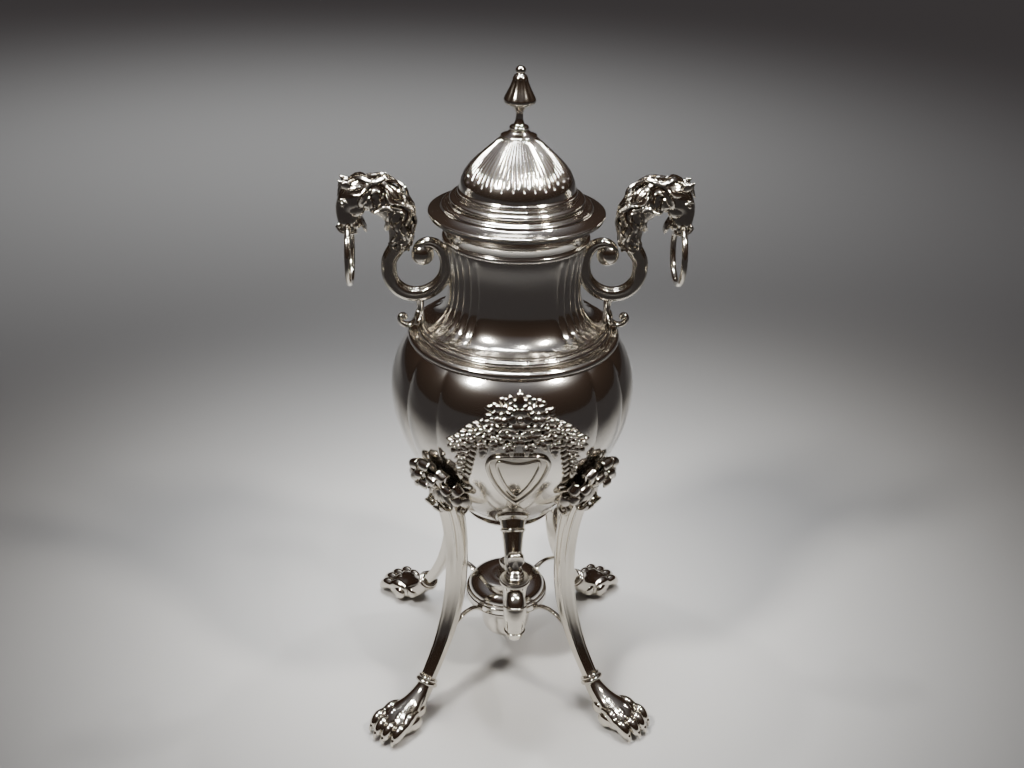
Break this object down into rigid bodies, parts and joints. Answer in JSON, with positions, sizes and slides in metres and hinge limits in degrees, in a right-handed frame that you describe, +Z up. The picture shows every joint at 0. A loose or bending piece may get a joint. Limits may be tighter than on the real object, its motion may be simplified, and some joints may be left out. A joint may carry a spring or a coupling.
{
  "type": "silver coffee urn",
  "caption": "Footed silver coffee urn with a lift-off lid, ring handles, a tap and a spirit burner under the bulbous body.",
  "frame": {"origin": "centre of the square that the four paws stand on, on the table", "axes": "+Z up, -Y towards the tap and the front, the handles along X"},
  "size_m": [0.216, 0.1844, 0.422],
  "materials": {
    "raised_silver": "polished, lightly tarnished",
    "cast_silver": "polished cast silver, dark in its recesses",
    "chased_silver": "chased and oxidised in the hollows",
    "cotton_wick": "woven cotton, matt"
  },
  "bodies": {
    "urn": {"urn_body": "raised_silver", "body_base": "raised_silver", "lower_shoulder_ring": "raised_silver", "upper_shoulder_ring": "raised_silver", "neck": "raised_silver", "rim_collar": "raised_silver", "cartouche": "chased_silver", "flower_spray": "chased_silver", "swag_right": "chased_silver", "swag_left": "chased_silver", "leg_front_left": "cast_silver", "leg_front_right": "cast_silver", "leg_rear_right": "cast_silver", "leg_rear_left": "cast_silver", "knee_leaf_front_left": "chased_silver", "knee_leaf_front_right": "chased_silver", "knee_leaf_rear_right": "chased_silver", "knee_leaf_rear_left": "chased_silver", "paw_front_left": "chased_silver", "paw_front_right": "chased_silver", "paw_rear_right": "chased_silver", "paw_rear_left": "chased_silver", "lamp_bracket_front_left": "cast_silver", "lamp_bracket_front_right": "cast_silver", "lamp_bracket_rear_right": "cast_silver", "lamp_bracket_rear_left": "cast_silver", "handle_scroll_right": "cast_silver", "handle_scroll_left": "cast_silver", "handle_foot_right": "cast_silver", "handle_foot_left": "cast_silver", "handle_head_right": "chased_silver", "handle_head_left": "chased_silver", "tap_escutcheon": "cast_silver", "tap_pipe": "cast_silver", "tap_barrel": "cast_silver", "tap_spout": "cast_silver", "strainer": "cast_silver", "lamp_ring": "raised_silver"},
    "lid": {"lid_flange": "raised_silver", "lid_ring": "raised_silver", "lid_dome": "raised_silver", "lid_bezel": "raised_silver", "lid_cap": "raised_silver", "finial_stem": "raised_silver", "finial_bud": "raised_silver", "finial_nut": "cast_silver"},
    "ring_right": {"ring_right": "cast_silver"},
    "ring_left": {"ring_left": "cast_silver"},
    "tap_plug": {"tap_plug": "cast_silver", "tap_key": "cast_silver", "tap_nut": "cast_silver"},
    "lamp": {"lamp_bowl": "raised_silver", "lamp_cover": "raised_silver", "wick_tube": "raised_silver", "wick": "cotton_wick"},
    "snuffer": {"snuffer_cap": "raised_silver"}
  },
  "joints": [
    {"name": "lid_lift", "type": "slide", "parent": "urn", "child": "lid", "axis": [0, 0, 1], "range_m": [0, 0.12]},
    {"name": "ring_right_swing", "type": "hinge", "parent": "urn", "child": "ring_right", "pos_m": [0.1, 0, 0.3283], "axis": [0, -1, 0], "range_deg": [-20, 110]},
    {"name": "ring_left_swing", "type": "hinge", "parent": "urn", "child": "ring_left", "pos_m": [-0.1, 0, 0.3283], "axis": [0, 1, 0], "range_deg": [-20, 110]},
    {"name": "tap_turn", "type": "hinge", "parent": "urn", "child": "tap_plug", "pos_m": [0, -0.075, 0.114], "axis": [0, 0, 1], "range_deg": [0, 90]},
    {"name": "lamp_lift", "type": "slide", "parent": "urn", "child": "lamp", "axis": [0, 0, 1], "range_m": [0, 0.025]},
    {"name": "snuffer_lift", "type": "slide", "parent": "lamp", "child": "snuffer", "axis": [0, 0, 1], "range_m": [0, 0.012]}
  ]
}
